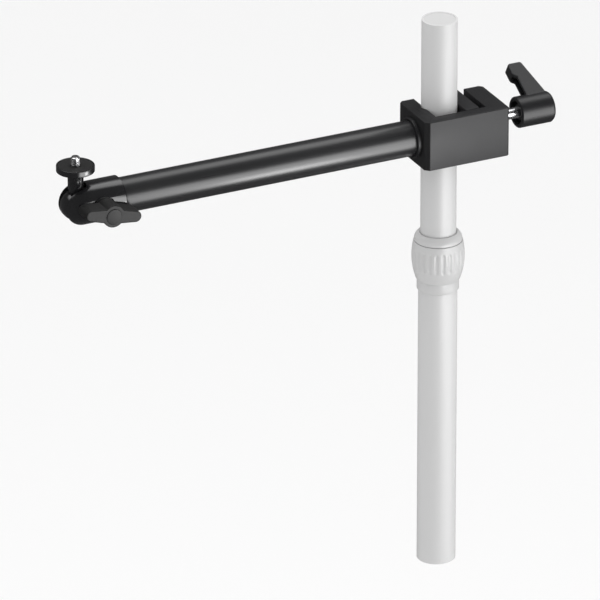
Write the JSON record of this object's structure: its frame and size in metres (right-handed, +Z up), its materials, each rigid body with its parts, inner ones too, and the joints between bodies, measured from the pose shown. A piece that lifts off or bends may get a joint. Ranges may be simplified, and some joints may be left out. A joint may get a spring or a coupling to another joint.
{
  "type": "clamp-on grip arm on a telescoping pole",
  "caption": "Round black arm clamped on a telescoping pole by a screw clamp with a ratchet lever, ending in a slotted ball head with a wing knob and a threaded stud.",
  "frame": {"origin": "centre of the lower tube's bottom end, on the pole's axis", "axes": "+Z up along the pole, -X along the arm towards its ball head, -Y the clamp's closed front face"},
  "size_m": [0.3842, 0.0686, 0.418],
  "materials": {
    "pole_finish": "light grey satin anodised tube",
    "collar_finish": "light grey moulded grip",
    "inner_nylon": "natural nylon",
    "black_anodised": "satin black anodised aluminium",
    "gloss_black": "polished black anodised aluminium",
    "lever_black": "black powder-coated die casting",
    "knob_black": "matte black moulded plastic",
    "bright_steel": "bright turned steel",
    "pad_rubber": "black rubber",
    "bush_brass": "brass"
  },
  "bodies": {
    "lower_pole": {"lower_tube": "pole_finish", "foot_plug": "collar_finish", "collar_body": "pole_finish", "collet": "inner_nylon"},
    "lock_collar": {"lock_grip": "collar_finish", "grip_cap_ring": "collar_finish"},
    "pole_guide": {"guide_plug": "inner_nylon"},
    "upper_pole": {"upper_tube": "pole_finish", "top_plug": "collar_finish"},
    "clamp_arm": {"clamp_body": "black_anodised", "arm_tube": "black_anodised", "arm_flange": "black_anodised", "arm_root_plug": "bright_steel", "arm_root_bolt": "bright_steel", "arm_end_plug": "bright_steel", "spigot_washer": "knob_black", "spigot_clip": "bright_steel"},
    "jaw": {"moving_jaw": "black_anodised", "jaw_clip": "bright_steel"},
    "clamp_screw": {"clamp_screw": "bright_steel", "lever_insert": "gloss_black", "lever_screw": "bright_steel", "lever_spring": "bright_steel"},
    "lever": {"lever_handle": "lever_black"},
    "head": {"head_housing": "gloss_black", "head_rear_plug": "gloss_black", "ball_seat": "inner_nylon", "knob_bush": "bush_brass"},
    "wing_knob": {"wing_screw": "bright_steel", "wing_knob": "knob_black", "knob_cap": "knob_black"},
    "ball": {"ball": "gloss_black"},
    "platform": {"stem": "gloss_black", "platform": "gloss_black", "platform_pad": "pad_rubber", "camera_stud": "bright_steel"}
  },
  "joints": [
    {"name": "collar_twist", "type": "hinge", "parent": "lower_pole", "child": "lock_collar", "pos_m": [0, 0, 0.235], "axis": [0, 0, 1], "range_deg": [0, 90]},
    {"name": "pole_extend", "type": "slide", "parent": "lower_pole", "child": "pole_guide", "axis": [0, 0, 1], "range_m": [-0.02, 0.11]},
    {"name": "pole_turn", "type": "hinge", "parent": "pole_guide", "child": "upper_pole", "pos_m": [0, 0, 0.05], "axis": [0, 0, 1], "continuous": true},
    {"name": "clamp_slide", "type": "slide", "parent": "upper_pole", "child": "clamp_arm", "axis": [0, 0, 1], "range_m": [-0.04, 0.06]},
    {"name": "jaw_slide", "type": "slide", "parent": "clamp_arm", "child": "jaw", "axis": [1, 0, 0], "range_m": [0, 0.00375]},
    {"name": "screw_turn", "type": "hinge", "parent": "jaw", "child": "clamp_screw", "pos_m": [0.06, 0, 0.3348], "axis": [1, 0, 0], "range_deg": [0, 1080]},
    {"name": "lever_pull", "type": "slide", "parent": "clamp_screw", "child": "lever", "axis": [1, 0, 0], "range_m": [0, 0.004], "stiffness_N_per_m": 800, "springref_m": -0.002, "deforming": ["lever_spring"]},
    {"name": "head_swivel", "type": "hinge", "parent": "clamp_arm", "child": "head", "pos_m": [-0.2499, -0.0068, 0.3348], "axis": [1, 0, 0], "continuous": true},
    {"name": "knob_turn", "type": "hinge", "parent": "head", "child": "wing_knob", "pos_m": [-0.2677, -0.0068, 0.3348], "axis": [0, 1, 0], "range_deg": [-180, 60]},
    {"name": "ball_tilt", "type": "hinge", "parent": "head", "child": "ball", "pos_m": [-0.2827, -0.0068, 0.3348], "axis": [0, 1, 0], "range_deg": [-180, 0]},
    {"name": "platform_spin", "type": "hinge", "parent": "ball", "child": "platform", "pos_m": [-0.2827, -0.0068, 0.3348], "axis": [0, 0, 1], "continuous": true}
  ],
  "couplings": [
    {"joint": "jaw_slide", "follows": "screw_turn", "m_per_rad": 0.00019894}
  ]
}
